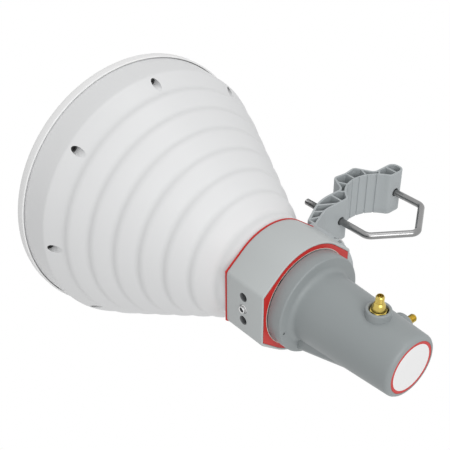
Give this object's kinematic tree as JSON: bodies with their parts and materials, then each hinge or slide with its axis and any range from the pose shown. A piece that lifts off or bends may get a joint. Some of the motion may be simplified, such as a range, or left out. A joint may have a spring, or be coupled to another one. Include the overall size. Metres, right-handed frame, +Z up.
{
  "type": "horn antenna",
  "caption": "Symmetrical horn antenna with a waved flare, domed radome, twist-lock waveguide port, dual coaxial adaptor and tilting pole clamp.",
  "frame": {"origin": "axis of the pole that the clamp's round channel grips, at the bracket's mid height", "axes": "+Z up along the pole; the horn looks towards -Y; +X from the pole to the horn"},
  "size_m": [0.2985, 0.3358, 0.2438],
  "materials": {
    "bracket_grey": "moulded, fine grain",
    "seal_black": "matt",
    "stainless": "bright",
    "ring_grey": "moulded, satin",
    "trim_red": "satin",
    "horn_white": "moulded, satin",
    "radome_white": "moulded, satin",
    "adaptor_grey": "moulded, satin",
    "cast_aluminium": "as cast",
    "gold_brass": "gold plated",
    "insulator_white": "matt",
    "label_white": "smooth foil"
  },
  "bodies": {
    "bracket": {"pole_bracket": "bracket_grey", "friction_disc": "seal_black", "u_bolt_nuts": "stainless", "u_bolt_washers": "stainless"},
    "antenna": {"pivot_ring": "ring_grey", "ring_inserts": "stainless", "ring_rear_trim": "trim_red", "ring_front_plate": "trim_red", "horn_flare": "horn_white", "flange_screws": "stainless", "radome_seal": "seal_black", "radome": "radome_white", "port_socket": "ring_grey", "socket_screws": "stainless", "port_seal": "seal_black", "pivot_bolt": "stainless", "lock_bolts": "stainless", "hub_washers": "stainless"},
    "adaptor": {"adaptor_housing": "adaptor_grey", "waveguide_liner": "cast_aluminium", "top_connector": "gold_brass", "side_connector": "gold_brass", "top_insulator": "insulator_white", "side_insulator": "insulator_white", "top_probe": "gold_brass", "side_probe": "gold_brass", "connector_seals": "seal_black", "end_label": "label_white", "end_label_ring": "trim_red"},
    "u_bolt": {"u_bolt": "stainless"}
  },
  "joints": [
    {"name": "elevation_tilt", "type": "hinge", "parent": "bracket", "child": "antenna", "pos_m": [0.0846, 0.0206, 0], "axis": [1, 0, 0], "range_deg": [-25, 25]},
    {"name": "port_twist", "type": "hinge", "parent": "antenna", "child": "adaptor", "pos_m": [0.1306, 0.0206, 0], "axis": [0, 1, 0], "range_deg": [0, 45]},
    {"name": "u_bolt_travel", "type": "slide", "parent": "bracket", "child": "u_bolt", "axis": [0, 1, 0], "range_m": [-0.024, 0.01]}
  ]
}
